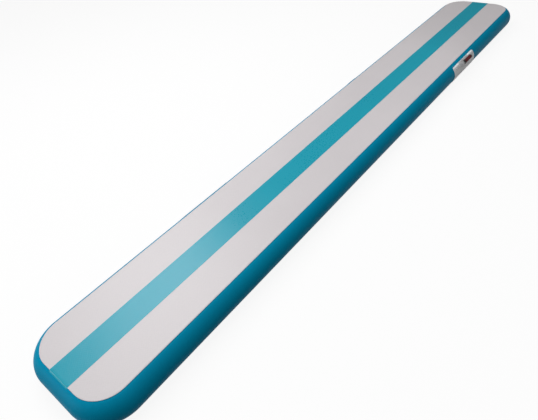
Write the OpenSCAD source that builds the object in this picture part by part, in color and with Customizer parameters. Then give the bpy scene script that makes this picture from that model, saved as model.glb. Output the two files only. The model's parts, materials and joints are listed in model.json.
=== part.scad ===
// Inflatable air track mat: drop-stitch body, two-layer wall, carry handles and an inflation valve.
// Millimetres, +Z up, X along the mat. The origin is the centre of the underside.

/* [Mat] */
// Length over the bulged end walls
mat_l = 3000; // [1500:10:6000]
// Width over the bulged side walls
mat_w = 400; // [330:5:1000]
// Thickness between the outer surfaces
mat_t = 100; // [80:1:200]
// How far the inflated wall bulges past the flat faces
wall_bulge = 31; // [24:0.5:38]
// Corner radius of the flat faces
face_corner_r = 95; // [60:1:130]

/* [Fabric] */
// Thickness of the drop-stitch face cloth
cloth_t = 1.2; // [0.8:0.1:2]
// Width of the coloured centre stripe
stripe_w = 88; // [40:1:150]
// Thickness of the stripe film
stripe_t = 0.3; // [0.2:0.1:0.6]
// Thickness of the outer wall band
band_t = 0.9; // [0.6:0.1:1.5]
// Width of the outer band's weld under and over the faces
band_weld_w = 24; // [12:1:40]
// Thickness of the inner wall band
lining_t = 0.7; // [0.5:0.1:1.5]
// Width of the inner band's weld
lining_weld_w = 16; // [8:1:30]
// Glue line between curved layers
glue_t = 0.3; // [0.2:0.05:0.4]

/* [Drop stitch] */
// Diameter of one stand-in yarn bundle
yarn_d = 1.6; // [1:0.1:3]
// Distance between yarn rows along the mat
yarn_pitch_x = 100; // [50:5:200]
// Distance between yarn rows across the mat
yarn_pitch_y = 60; // [40:5:100]

/* [Wall joint] */
// Width of the cover strip over the wall's butt joint
joint_strip_w = 50; // [30:1:80]
// Thickness of that strip
joint_strip_t = 0.8; // [0.5:0.1:1.2]
// Its place along the rear wall
joint_strip_x = 300; // [-600:10:900]
// Bare wall left between the strip and each face
joint_strip_edge = 3; // [2:0.5:8]

/* [Handles] */
// Distance of each handle from the middle of the mat
handle_x = 730; // [300:5:900]
// Length of the handle patch
patch_l = 240; // [200:5:320]
// Height of the patch, measured round the wall
patch_h = 88; // [72:1:96]
// Thickness of the patch
patch_t = 1; // [0.6:0.1:1.5]
// Corner radius of the patch
patch_corner_r = 12; // [6:1:20]
// Width of the webbing strap
strap_w = 14; // [10:0.5:17]
// Thickness of the strap
strap_t = 2.4; // [1.8:0.1:3]
// Thinnest wall of the hand grip round the strap
grip_wall = 1.6; // [1.2:0.1:3]
// Length of the hand grip
grip_l = 80; // [60:1:110]
// Height of the grip's middle over the wall
grip_rise = 20; // [18:0.5:28]
// Length of each strap leg along the mat
leg_run = 18; // [15:0.5:24]
// Bare patch left past each end pad
patch_margin = 10; // [6:1:16]
// Bare patch left above the front end pads
pad_edge = 2; // [1:0.5:6]
// Width of the pad beside the strap
pad_rim = 3.75; // [2.5:0.25:5]
// Thickness of the pad over the strap
pad_cover_t = 1.65; // [1.2:0.05:2.5]
// Corner radius of the pads
pad_corner_r = 5; // [2:0.5:9]
// Height of the hinge line over the wall
hinge_rise = 8; // [7.5:0.5:10]
// Place of the rear handle on its wall, in degrees from straight up
rear_handle_angle = 105; // [100:1:110]

/* [Valve boot and clamp] */
// Width of the boot's welded skirt round its seat
boot_skirt_w = 8; // [6:0.5:12]
// Thickness of the skirt
boot_skirt_t = 1.2; // [0.8:0.1:2]
// Width of the boot's flat seat past the flange
boot_rim = 2; // [1:0.5:4]
// Height of the seat over the wall
boot_h = 2.5; // [1.5:0.1:5]
// Thickness of the flange gasket
gasket_t = 0.8; // [0.5:0.1:1.5]
// Width of the flange past the collar, and of the clamp nut and the backing pad
flange_rim = 6.5; // [5.5:0.5:8]
// Thickness of the flange
flange_t = 4; // [3:0.1:6]
// Thinnest part of the backing pad
backing_t = 1.5; // [1:0.1:3]
// Thickness of the clamp nut
nut_t = 6; // [4:0.5:8]
// Number of spanner notches in the nut
nut_notches = 6; // [4:1:8]
// Width of a spanner notch
nut_notch_w = 6; // [4:0.5:8]

/* [Valve body] */
// Wall of the barrel, which is held in the flange and passes through the mat's wall
barrel_wall = 5; // [3.5:0.1:5.4]
// Depth of the barrel behind the flange
barrel_l = 28; // [25:0.5:34]
// Wall of the collar that the cap covers
collar_wall = 4.5; // [3.8:0.1:6]
// Height of the collar
collar_h = 10; // [8:0.5:14]
// Radius of the pump port
port_r = 12; // [10:0.1:14.4]
// Depth of the pump port
port_depth = 12; // [9:0.5:13]
// Step from the port in to the air way behind it
port_step = 2; // [1:0.1:3]
// Length of the guide hub
hub_h = 5; // [4:0.5:7]
// Distance of the hub from the valve seat
hub_lift = 9; // [7:0.5:10]
// Wall of the hub around the stem
hub_wall = 2; // [1.5:0.1:2.5]
// Number of arms that carry the hub
hub_arms = 3; // [3:1:5]
// Width of an arm
hub_arm_w = 2; // [1.5:0.1:3]
// Height of an arm, in the middle of the hub
hub_arm_h = 3; // [2:0.1:3.5]

/* [Valve plunger] */
// Radius of the stem
stem_r = 2.5; // [2:0.1:3]
// Radius of the push button
button_r = 6; // [5.2:0.1:8]
// Thickness of the push button
button_t = 3; // [2.5:0.1:4]
// Distance of the button below the pump port
button_drop = 0.3; // [0.3:0.1:1]
// Thickness of the thrust washer under the button
washer_t = 0.6; // [0.4:0.1:1]
// How far the rubber valve disc laps over its seat
disc_lap = 3; // [2:0.1:4]
// Thickness of the valve disc
disc_t = 2.5; // [2:0.1:4]
// Radius of the plate behind the disc
plate_r = 9; // [7:0.5:11]
// Thickness of that plate
plate_t = 2.5; // [2:0.1:4]
// Wire diameter of the spring
wire_d = 0.8; // [0.6:0.1:1]
// Gap between the spring and the stem's guide hole
coil_gap = 1.3; // [1:0.1:1.6]
// Number of turns of the spring
coil_turns = 4; // [3:0.5:5]

/* [Valve cap] */
// Wall of the cap round the collar
cap_wall = 4.2; // [3:0.1:5.5]
// Thickness of the cap's top
cap_top_t = 2.5; // [2:0.1:4]
// Number of finger flutes round the cap
cap_flutes = 12; // [8:1:16]
// Radius of a finger flute
cap_flute_r = 2.5; // [1.5:0.1:3]
// Depth of a finger flute
cap_flute_depth = 1.2; // [0.6:0.1:1.6]
// Thickness of the cap's seal ring
cap_seal_t = 1.2; // [0.8:0.1:2]
// Radius of the cap's middle post
post_r = 4; // [3:0.1:5]
// Lip of the post's head past the post
post_lip = 2.5; // [1.5:0.1:4]
// Thickness of the post's head
post_head_t = 1.5; // [1:0.1:2.5]
// Thickness of the leash
leash_t = 1.5; // [1:0.1:2]
// Width of the leash strap
leash_w = 7; // [5:0.5:9]
// Width of the leash's ring round the collar
leash_ring_w = 5.2; // [3:0.1:6]
// Width of the leash's eye round the cap's post
leash_eye_w = 4.7; // [3:0.1:6]
// How far past the cap the leash turns back
leash_room = 6; // [4:0.5:9]

/* [Clearances] */
// Gap between pieces that move past each other
move_gap = 0.3; // [0.2:0.05:0.5]
// Gap round the stem in its guide
guide_gap = 0.1; // [0.05:0.01:0.2]
// Gap round the barrel in the flange, the wall, the pads and the nut
barrel_gap = 0.4; // [0.3:0.05:0.8]
// Gap round the strap in its pads and its grip
strap_gap = 0.25; // [0.2:0.05:0.4]

/* [Hidden] */
$fn = 96;
past = 1; // overshoot of a cut past the face it opens

// Faces and wall
face_l = mat_l - 2 * wall_bulge;
face_w = mat_w - 2 * wall_bulge;
inside_top = mat_t - stripe_t - cloth_t; // underside of the top cloth
inside_bottom = cloth_t;
wall_mid = (inside_top + inside_bottom) / 2;
wall_half = (inside_top - inside_bottom) / 2;
wall_r = (wall_half * wall_half + wall_bulge * wall_bulge) / (2 * wall_bulge);
wall_c = wall_bulge - wall_r; // centre of the wall's arc, outwards from the faces' edge
crease_angle = asin(wall_half / wall_r); // from level to the wall's edge
lining_depth = band_t + glue_t;
lining_r = wall_r - lining_depth - lining_t; // inner surface of the inner band
on_wall_r = wall_r + glue_t; // underside of what is welded on the wall

// Yarns stand inside the welds
yarn_reach_x = face_l / 2 - band_weld_w - yarn_d;
yarn_reach_y = face_w / 2 - band_weld_w - yarn_d;
yarn_rows_x = floor(yarn_reach_x / yarn_pitch_x);
yarn_rows_y = floor(yarn_reach_y / yarn_pitch_y);

// Handle, in a frame with X along the mat and Z out of the wall from the arc's centre
patch_half_angle = patch_h / 2 / on_wall_r * 180 / PI;
patch_top_r = on_wall_r + patch_t;
strap_low = patch_top_r + glue_t + strap_t / 2;
strap_high = wall_r + grip_rise;
grip_d = 2 * (norm([strap_w / 2 + strap_gap, strap_t / 2 + strap_gap]) + grip_wall);
leg_in = grip_l / 2; // where a leg leaves the grip
leg_out = leg_in + leg_run; // where it meets the pad
hinge_r = wall_r + hinge_rise;
leg_split = leg_out - leg_run * (hinge_r - strap_low) / (strap_high - strap_low);
pad_in = leg_out;
pad_out = patch_l / 2 - patch_margin;
pad_w = strap_w + 2 * strap_gap + 2 * pad_rim;
pad_h = glue_t + strap_t + strap_gap + pad_cover_t; // over the patch
strap_drop_angle = (pad_w / 2 + pad_edge) / on_wall_r * 180 / PI; // strap below the patch's upper edge
front_handle_angle = 90 - patch_half_angle + strap_drop_angle; // from straight up
strap_route = [
    [-pad_out + 2 * pad_corner_r, strap_low], [-leg_out, strap_low], [-leg_in, strap_high],
    [leg_in, strap_high], [leg_out, strap_low], [pad_out - 2 * pad_corner_r, strap_low]
];

// Valve radii, outwards from the pump port
collar_r = port_r + collar_wall;
flange_r = collar_r + flange_rim;
boot_r = flange_r + boot_rim;
boot_skirt_r = boot_r + boot_skirt_w;
throat_r = port_r - port_step;
barrel_r = throat_r + barrel_wall;
disc_r = throat_r + disc_lap;
guide_r = stem_r + guide_gap;
coil_r = guide_r + coil_gap + wire_d / 2;
collar_hole_r = collar_r + move_gap;
cap_r = collar_hole_r + cap_wall;
post_head_r = post_r + post_lip;
leash_ring_r = collar_hole_r + leash_ring_w;
leash_eye_r = post_r + move_gap + leash_eye_w;
leash_reach = cap_r + leash_room;

// Valve heights, in a frame with Z out of the end wall from its crown
seat_z = boot_h;
flange_z = seat_z + gasket_t;
collar_z = flange_z + flange_t;
rim_z = collar_z + collar_h;
port_z = rim_z - port_depth;
valve_seat_z = flange_z - barrel_l;
hub_z = valve_seat_z + hub_lift;
hole_r = barrel_r + barrel_gap;
backing_r = lining_r - glue_t;
backing_top = backing_r - wall_r;
backing_z = sqrt(backing_r * backing_r - flange_r * flange_r) - wall_r - backing_t;
button_z = port_z - button_drop - button_t;
washer_z = button_z - washer_t;
spring_low = hub_z + hub_h;
spring_l = washer_z - spring_low;
plate_z = valve_seat_z - disc_t - plate_t;
leash_z = collar_z;
cap_z = leash_z + leash_t + move_gap;
cap_inside_z = rim_z + cap_seal_t;
cap_top_z = cap_inside_z + cap_top_t;
eye_z = cap_top_z + move_gap;
head_z = eye_z + leash_t + move_gap;

// Is a place on the mat clear of the weld in the rounded corners?
function clear_of_weld(x, y) =
    let (over_x = abs(x) - face_l / 2 + face_corner_r)
    let (over_y = abs(y) - face_w / 2 + face_corner_r)
    min(over_x, over_y) < 0 || norm([over_x, over_y]) < face_corner_r - band_weld_w - yarn_d;

function unit(v) = v / norm(v);
function left_of(v) = [-v[1], v[0]];
function way(p, i) = unit(p[i + 1] - p[i]);
function corner_push(p, i) =
    let (last = len(p) - 1)
    let (a = left_of(way(p, i == 0 ? 0 : i - 1)))
    let (b = left_of(way(p, i == last ? last - 1 : i)))
    (a + b) / (1 + a * b);
function thick_path(p, t) = concat(
    [for (i = [0 : len(p) - 1]) p[i] + corner_push(p, i) * t / 2],
    [for (i = [len(p) - 1 : -1 : 0]) p[i] - corner_push(p, i) * t / 2]
);

// A rectangle with round corners
module round_rect(l, w, r) {
    square([l - 2 * r, w], center = true);
    square([l, w - 2 * r], center = true);
    for (x = [-1, 1], y = [-1, 1])
        translate([x * (l / 2 - r), y * (w / 2 - r)]) circle(r);
}

module face_sheet(z) {
    translate([0, 0, z]) linear_extrude(cloth_t) round_rect(face_l, face_w, face_corner_r);
}

// Section of one wall layer: a bulged arc with a weld flange under the top and over the bottom
module wall_section(depth, t, weld_w) {
    low = inside_bottom + depth;
    high = inside_top - depth;
    intersection() {
        translate([wall_c, wall_mid]) difference() {
            circle(wall_r - depth);
            circle(wall_r - depth - t);
        }
        translate([-t, low]) square([wall_bulge + t + past, high - low]);
    }
    translate([-weld_w, high - t]) square([weld_w, t]);
    translate([-weld_w, low]) square([weld_w, t]);
}

// The section carried round the mat: two sides, two ends and four corners
module wall_ring(depth, t, weld_w) {
    corner_x = face_l / 2 - face_corner_r;
    corner_y = face_w / 2 - face_corner_r;
    for (turn = [0, 180]) rotate(turn) {
        translate([0, -face_w / 2, 0]) rotate([90, 0, -90])
            linear_extrude(2 * corner_x, center = true) wall_section(depth, t, weld_w);
        translate([face_l / 2, 0, 0]) rotate([90, 0, 0])
            linear_extrude(2 * corner_y, center = true) wall_section(depth, t, weld_w);
        for (side = [-1, 1])
            translate([corner_x, side * corner_y, 0]) rotate(side < 0 ? -90 : 0)
                rotate_extrude(angle = 90) translate([face_corner_r, 0]) wall_section(depth, t, weld_w);
    }
}

// Valve frame: Z points out of the end wall, X points down
module at_valve() {
    translate([mat_l / 2, 0, wall_mid]) rotate([0, 90, 0]) children();
}

// A solid of the wall's curve at a given radius, in the valve frame
module wall_round(r) {
    translate([0, 0, -wall_r]) rotate([90, 0, 0]) cylinder(r = r, h = 4 * boot_skirt_r, center = true);
}

// Handle frame: Z points out of the wall at an angle from straight up, from the arc's centre
module at_wall(angle) {
    translate([0, -(face_w / 2 + wall_c), wall_mid]) rotate([angle, 0, 0]) children();
}

module at_front_handle() {
    translate([handle_x, 0, 0]) children();
}

module at_rear_handle() {
    rotate(180) translate([handle_x, 0, 0]) children();
}

// A sheet that follows the wall, cut to a rounded outline, in a frame that points level
module wall_patch(l, half_angle, t, r) {
    high = 2 * (on_wall_r + t) * sin(half_angle);
    intersection() {
        rotate([90, 0, 90]) linear_extrude(l, center = true) difference() {
            circle(on_wall_r + t);
            circle(on_wall_r);
        }
        linear_extrude(on_wall_r + t + past) round_rect(l, high, r);
    }
}

module handle_patch() {
    at_wall(90) wall_patch(patch_l, patch_half_angle, patch_t, patch_corner_r);
}

module strap_solid(w, t) {
    rotate([90, 0, 0]) linear_extrude(w, center = true) polygon(thick_path(strap_route, t));
}

// What lies within or beyond a distance from the handle's middle
module middle_span(x) {
    translate([-x, -patch_h, 0]) cube([2 * x, 2 * patch_h, 2 * strap_high]);
}

module handle_pads(angle) {
    at_wall(angle) difference() {
        for (side = [-1, 1])
            translate([side * (pad_in + pad_out) / 2, 0, patch_top_r - past])
                linear_extrude(pad_h + past) round_rect(pad_out - pad_in, pad_w, pad_corner_r);
        rotate([0, 90, 0]) cylinder(r = patch_top_r + glue_t, h = 2 * pad_out + 2 * past, center = true);
        strap_solid(strap_w + 2 * strap_gap, strap_t + 2 * strap_gap);
    }
}

module handle_ends(angle) {
    at_wall(angle) difference() {
        strap_solid(strap_w, strap_t);
        middle_span(leg_split + move_gap / 2);
    }
}

module handle_strap(angle) {
    at_wall(angle) intersection() {
        strap_solid(strap_w, strap_t);
        middle_span(leg_split - move_gap / 2);
    }
}

module handle_grip(angle) {
    edge = grip_wall / 2; // chamfer of the grip's ends
    at_wall(angle) difference() {
        translate([0, 0, strap_high]) rotate([0, 90, 0]) union() {
            cylinder(d = grip_d, h = grip_l - 2 * edge, center = true);
            for (side = [-1, 1])
                rotate([side < 0 ? 180 : 0, 0, 0]) translate([0, 0, grip_l / 2 - edge])
                    cylinder(d1 = grip_d, d2 = grip_d - 2 * edge, h = edge);
        }
        strap_solid(strap_w + 2 * strap_gap, strap_t + 2 * strap_gap);
    }
}

module top_face() {
    color([0.85, 0.84, 0.84]) face_sheet(inside_top);
}

module centre_stripe() {
    color([0.2, 0.62, 0.71]) translate([-face_l / 2, -stripe_w / 2, mat_t - stripe_t])
        cube([face_l, stripe_w, stripe_t]);
}

module bottom_face() {
    color([0.5, 0.53, 0.55]) face_sheet(0);
}

module drop_stitch_yarns() {
    color([0.93, 0.93, 0.9])
        for (i = [-yarn_rows_x : yarn_rows_x], j = [-yarn_rows_y : yarn_rows_y])
            if (clear_of_weld(i * yarn_pitch_x, j * yarn_pitch_y))
                translate([i * yarn_pitch_x, j * yarn_pitch_y, inside_bottom])
                    cylinder(d = yarn_d, h = inside_top - inside_bottom);
}

module outer_wall_band() {
    color([0.05, 0.5, 0.62]) difference() {
        wall_ring(0, band_t, band_weld_w);
        at_valve() cylinder(r = hole_r, h = 4 * wall_bulge, center = true);
    }
}

module inner_wall_band() {
    color([0.75, 0.75, 0.74]) difference() {
        wall_ring(lining_depth, lining_t, lining_weld_w);
        at_valve() cylinder(r = hole_r, h = 4 * wall_bulge, center = true);
    }
}

module wall_joint_strip() {
    strip_angle = crease_angle - joint_strip_edge / on_wall_r * 180 / PI;
    color([0.05, 0.46, 0.58]) rotate(180) translate([-joint_strip_x, 0, 0]) at_wall(90)
        wall_patch(joint_strip_w, strip_angle, joint_strip_t, joint_strip_t);
}

module front_handle_patch() {
    color([0.8, 0.79, 0.78]) at_front_handle() handle_patch();
}

module front_handle_pads() {
    color([0.76, 0.75, 0.75]) at_front_handle() handle_pads(front_handle_angle);
}

module front_handle_ends() {
    color([0.78, 0.79, 0.8]) at_front_handle() handle_ends(front_handle_angle);
}

module front_handle_strap() {
    color([0.78, 0.79, 0.8]) at_front_handle() handle_strap(front_handle_angle);
}

module front_handle_grip() {
    color([0.36, 0.05, 0.08]) at_front_handle() handle_grip(front_handle_angle);
}

module rear_handle_patch() {
    color([0.8, 0.79, 0.78]) at_rear_handle() handle_patch();
}

module rear_handle_pads() {
    color([0.76, 0.75, 0.75]) at_rear_handle() handle_pads(rear_handle_angle);
}

module rear_handle_ends() {
    color([0.78, 0.79, 0.8]) at_rear_handle() handle_ends(rear_handle_angle);
}

module rear_handle_strap() {
    color([0.78, 0.79, 0.8]) at_rear_handle() handle_strap(rear_handle_angle);
}

module rear_handle_grip() {
    color([0.36, 0.05, 0.08]) at_rear_handle() handle_grip(rear_handle_angle);
}

module ring(r_out, r_in, z, h) {
    translate([0, 0, z]) difference() {
        cylinder(r = r_out, h = h);
        translate([0, 0, -past]) cylinder(r = r_in, h = h + 2 * past);
    }
}

module valve_boot() {
    color([0.05, 0.46, 0.58]) at_valve() difference() {
        union() {
            translate([0, 0, seat_z - wall_r]) cylinder(r = boot_r, h = wall_r);
            intersection() {
                wall_round(on_wall_r + boot_skirt_t);
                translate([0, 0, -wall_r]) cylinder(r = boot_skirt_r, h = 2 * wall_r);
            }
        }
        wall_round(on_wall_r);
        translate([0, 0, -wall_r]) cylinder(r = hole_r, h = 2 * wall_r);
    }
}

module valve_gasket() {
    color([0.12, 0.12, 0.12]) at_valve() ring(flange_r, hole_r, seat_z, gasket_t);
}

module valve_backing() {
    color([0.15, 0.15, 0.15]) at_valve() intersection() {
        ring(flange_r, hole_r, backing_z, backing_top - backing_z + past);
        wall_round(backing_r);
    }
}

module valve_nut() {
    color([0.62, 0.64, 0.66]) at_valve() difference() {
        ring(flange_r, hole_r, backing_z - nut_t, nut_t);
        for (i = [0 : nut_notches - 1])
            rotate(i * 360 / nut_notches) translate([flange_r, 0, backing_z - nut_t / 2])
                cube([flange_r - hole_r, nut_notch_w, nut_t + 2 * past], center = true);
    }
}

module valve_body() {
    color([0.7, 0.72, 0.74]) at_valve() difference() {
        union() {
            translate([0, 0, flange_z]) cylinder(r = flange_r, h = flange_t);
            translate([0, 0, collar_z]) cylinder(r = collar_r, h = collar_h);
        }
        translate([0, 0, flange_z - past]) cylinder(r = hole_r, h = port_z - flange_z + past);
        translate([0, 0, flange_z - past]) cylinder(r = port_r, h = rim_z - flange_z + 2 * past);
    }
}

module valve_barrel() {
    arm_in = guide_r + hub_wall / 2;
    color([0.64, 0.66, 0.68]) at_valve() {
        ring(barrel_r, throat_r, valve_seat_z, port_z - valve_seat_z);
        ring(guide_r + hub_wall, guide_r, hub_z, hub_h);
        for (i = [0 : hub_arms - 1])
            rotate(i * 360 / hub_arms) translate([arm_in, -hub_arm_w / 2, hub_z + (hub_h - hub_arm_h) / 2])
                cube([throat_r + past - arm_in, hub_arm_w, hub_arm_h]);
    }
}

module valve_stem() {
    color([0.85, 0.85, 0.85]) at_valve() {
        translate([0, 0, plate_z]) cylinder(r = plate_r, h = plate_t);
        translate([0, 0, plate_z]) cylinder(r = stem_r, h = button_z + button_t / 2 - plate_z);
    }
}

module valve_disc() {
    color([0.1, 0.1, 0.1]) at_valve() ring(disc_r, guide_r, valve_seat_z - disc_t, disc_t);
}

module valve_button() {
    color([0.9, 0.9, 0.9]) at_valve() difference() {
        translate([0, 0, button_z]) cylinder(r = button_r, h = button_t);
        translate([0, 0, button_z - past]) cylinder(r = guide_r, h = button_t / 2 + past);
    }
}

module valve_washer() {
    color([0.75, 0.7, 0.55]) at_valve() ring(button_r - move_gap, guide_r, washer_z, washer_t);
}

module valve_spring() {
    sides = 6; // of the wire's section
    turn_steps = 20;
    steps = turn_steps * coil_turns;
    low = spring_low + wire_d / 2;
    rise = spring_l - wire_d;
    points = [
        for (i = [0 : steps], k = [0 : sides - 1])
            let (turn = 360 * coil_turns * i / steps)
            let (around = 360 * k / sides)
            let (r = coil_r + wire_d / 2 * cos(around))
            [r * cos(turn), r * sin(turn), low + rise * i / steps + wire_d / 2 * sin(around)]
    ];
    sleeve = [
        for (i = [0 : steps - 1], k = [0 : sides - 1])
            let (a = i * sides + k)
            let (b = i * sides + (k + 1) % sides)
            [a, a + sides, b + sides, b]
    ];
    ends = [[for (k = [0 : sides - 1]) k], [for (k = [sides - 1 : -1 : 0]) steps * sides + k]];
    color([0.8, 0.8, 0.82]) at_valve() polyhedron(points, concat(sleeve, ends), convexity = 8);
}

module valve_cap() {
    color([0.16, 0.17, 0.18]) at_valve() {
        difference() {
            translate([0, 0, cap_z]) cylinder(r = cap_r, h = cap_top_z - cap_z);
            translate([0, 0, cap_z - past]) cylinder(r = collar_hole_r, h = cap_inside_z - cap_z + past);
            for (i = [0 : cap_flutes - 1])
                rotate(i * 360 / cap_flutes)
                    translate([cap_r + cap_flute_r - cap_flute_depth, 0, cap_z - past])
                        cylinder(r = cap_flute_r, h = cap_top_z - cap_z + 2 * past);
        }
        translate([0, 0, cap_top_z]) cylinder(r = post_r, h = head_z - cap_top_z);
        translate([0, 0, head_z]) cylinder(r = post_head_r, h = post_head_t);
    }
}

module cap_seal() {
    color([0.08, 0.08, 0.08]) at_valve()
        ring(collar_r - move_gap, port_r + move_gap, rim_z, cap_seal_t);
}

module cap_leash() {
    bend_r = (eye_z - leash_z) / 2;
    bend_z = (eye_z + leash_z + leash_t) / 2;
    color([0.16, 0.17, 0.18]) at_valve() {
        ring(leash_ring_r, collar_hole_r, leash_z, leash_t);
        translate([(leash_ring_r + collar_hole_r) / 2, -leash_w / 2, leash_z])
            cube([leash_reach - (leash_ring_r + collar_hole_r) / 2, leash_w, leash_t]);
        translate([leash_reach, 0, bend_z]) rotate([90, 0, 0]) linear_extrude(leash_w, center = true)
            intersection() {
                difference() {
                    circle(bend_r + leash_t / 2);
                    circle(bend_r - leash_t / 2);
                }
                translate([0, -2 * bend_r]) square([2 * bend_r, 4 * bend_r]);
            }
        difference() {
            translate([0, -leash_w / 2, eye_z]) cube([leash_reach, leash_w, leash_t]);
            translate([0, 0, eye_z - past]) cylinder(r = leash_eye_r + move_gap, h = leash_t + 2 * past);
        }
    }
}

module leash_eye() {
    color([0.16, 0.17, 0.18]) at_valve() ring(leash_eye_r, post_r + move_gap, eye_z, leash_t);
}

top_face();
centre_stripe();
bottom_face();
drop_stitch_yarns();
outer_wall_band();
inner_wall_band();
wall_joint_strip();
front_handle_patch();
front_handle_pads();
front_handle_ends();
front_handle_strap();
front_handle_grip();
rear_handle_patch();
rear_handle_pads();
rear_handle_ends();
rear_handle_strap();
rear_handle_grip();
valve_boot();
valve_gasket();
valve_backing();
valve_nut();
valve_body();
valve_barrel();
valve_stem();
valve_disc();
valve_button();
valve_washer();
valve_spring();
valve_cap();
cap_seal();
cap_leash();
leash_eye();
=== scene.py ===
import json
from math import asin, atan2, cos, pi, radians, sin, sqrt
import bmesh
import bpy
import numpy as np
from mathutils import Matrix, Vector


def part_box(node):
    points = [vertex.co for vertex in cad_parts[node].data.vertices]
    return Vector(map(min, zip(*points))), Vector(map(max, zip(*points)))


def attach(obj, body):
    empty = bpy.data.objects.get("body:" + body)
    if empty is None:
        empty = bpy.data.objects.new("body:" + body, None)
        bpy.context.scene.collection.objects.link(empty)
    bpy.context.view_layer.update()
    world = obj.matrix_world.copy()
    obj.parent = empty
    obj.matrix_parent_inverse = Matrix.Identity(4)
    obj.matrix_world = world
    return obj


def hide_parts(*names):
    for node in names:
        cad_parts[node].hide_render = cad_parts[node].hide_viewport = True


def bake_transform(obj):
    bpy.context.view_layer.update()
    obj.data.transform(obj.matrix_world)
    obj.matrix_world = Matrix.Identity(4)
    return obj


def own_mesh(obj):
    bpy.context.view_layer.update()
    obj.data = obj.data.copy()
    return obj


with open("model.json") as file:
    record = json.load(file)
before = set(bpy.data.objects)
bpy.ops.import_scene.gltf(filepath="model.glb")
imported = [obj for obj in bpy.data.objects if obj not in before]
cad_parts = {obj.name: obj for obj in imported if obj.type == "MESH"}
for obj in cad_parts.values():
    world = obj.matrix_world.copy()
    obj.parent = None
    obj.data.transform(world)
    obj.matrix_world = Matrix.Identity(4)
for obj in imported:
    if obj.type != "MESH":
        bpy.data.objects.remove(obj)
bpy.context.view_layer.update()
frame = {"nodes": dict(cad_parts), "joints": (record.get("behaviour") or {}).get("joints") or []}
scene = bpy.context.scene
scene.view_settings.view_transform = "Standard"
mm = 0.001


def newObject(name, data):
    made = bpy.data.objects.new(name, data)
    scene.collection.objects.link(made)
    return made


# Camera

cameraSizes = {
    "photoWidth": 538,  # pixels of the photograph
    "place": (-1.5641, -0.9487, 1.201),
    "right": (0.63427, -0.76133, -0.13443),
    "ahead": (0.55521, 0.56957, -0.60608),
    "focalPixels": 483.1,
    "shift": (0.026, -0.0558),
    "sensor": 36,
    "clip": (0.05, 60),
}


def addCamera(c):
    data = bpy.data.cameras.new("photoCamera")
    data.sensor_width = c["sensor"]
    data.lens = c["focalPixels"] / c["photoWidth"] * c["sensor"]
    data.shift_x, data.shift_y = c["shift"]
    data.clip_start, data.clip_end = c["clip"]
    cam = newObject("photoCamera", data)
    back = -Vector(c["ahead"]).normalized()
    right = Vector(c["right"]).normalized()
    turn = Matrix((right, back.cross(right), back)).transposed().to_4x4()
    cam.matrix_world = Matrix.Translation(c["place"]) @ turn
    scene.camera = cam


addCamera(cameraSizes)
print("camera placed")

# Shader and geometry trees


class Sock:
    def __init__(self, tree, socket=None):
        self.tree = tree
        self.socket = socket

    def node(self, kind, settings=None, inputs=None, out=0):
        made = self.tree.nodes.new(kind)
        for key, value in (settings or {}).items():
            setattr(made, key, value)
        for key, value in (inputs or {}).items():
            if isinstance(value, Sock):
                self.tree.links.new(value.socket, made.inputs[key])
            else:
                made.inputs[key].default_value = value
        return Sock(self.tree, made.outputs[out] if made.outputs else None)

    def outs(self):
        return {o.name: Sock(self.tree, o) for o in self.socket.node.outputs if o.name}

    def geo(self, kind, inputs, **settings):
        return self.node("GeometryNode" + kind, settings, inputs)

    def maths(self, operation, a, b=0.0):
        return self.node("ShaderNodeMath", {"operation": operation}, {0: a, 1: b})

    def mix(self, low, high, factor):
        inputs = {"Factor": factor, 6: low, 7: high}
        return self.node("ShaderNodeMix", {"data_type": "RGBA"}, inputs, 2)

    def sine(self):
        return self.maths("SINE", self)

    def wave(self, length):
        return (self * (2 * pi / length)).sine()

    def smooth(self, low, high):
        settings = {"interpolation_type": "SMOOTHSTEP"}
        inputs = {0: self, 1: low, 2: high, 3: 0.0, 4: 1.0}
        return self.node("ShaderNodeMapRange", settings, inputs)

    def __add__(self, other):
        return self.maths("ADD", self, other)

    def __radd__(self, other):
        return self.maths("ADD", other, self)

    def __sub__(self, other):
        return self.maths("SUBTRACT", self, other)

    def __rsub__(self, other):
        return self.maths("SUBTRACT", other, self)

    def __mul__(self, other):
        return self.maths("MULTIPLY", self, other)

    def __rmul__(self, other):
        return self.maths("MULTIPLY", other, self)

    def __abs__(self):
        return self.maths("ABSOLUTE", self)


def srgb(r, g, b):
    def linear(v):
        v = v / 255
        return v / 12.92 if v <= 0.04045 else ((v + 0.055) / 1.055) ** 2.4

    return (linear(r), linear(g), linear(b), 1.0)


def grey(v):
    return (v, v, v, 1.0)


def bareTree(owner):
    owner.use_nodes = True
    owner.node_tree.nodes.clear()
    return Sock(owner.node_tree)


def material(name, build):
    made = bpy.data.materials.new(name)
    s = bareTree(made)
    surface = s.node("ShaderNodeBsdfPrincipled", None, build(s))
    s.node("ShaderNodeOutputMaterial", None, {"Surface": surface})
    return made


# The piece's own place, or its flat layout where the pattern follows the surface
def places(s, uv=None):
    if uv:
        return s.node("ShaderNodeUVMap", {"uv_map": uv})
    return s.node("ShaderNodeTexCoord", None, None, 3)


def axes(s, where):
    return list(s.node("ShaderNodeSeparateXYZ", None, {0: where}).outs().values())


def noise(s, where, scale, detail=2.0, rough=0.5):
    inputs = {"Vector": where, "Scale": scale, "Detail": detail, "Roughness": rough}
    return s.node("ShaderNodeTexNoise", {"noise_dimensions": "3D"}, inputs)


def bump(s, height, strength, distance):
    inputs = {"Strength": strength, "Distance": distance, "Height": height}
    return s.node("ShaderNodeBump", None, inputs)


clothLook = {
    "pitch": 9 * mm,  # rows of dimples where the yarns pull
    "weave": 1.5 * mm,
    "broad": 2.2,  # noise scales of the soft waves and of the grain
    "fine": 160.0,
    "relief": 0.35,
    "depth": 0.25 * mm,
}


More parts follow.
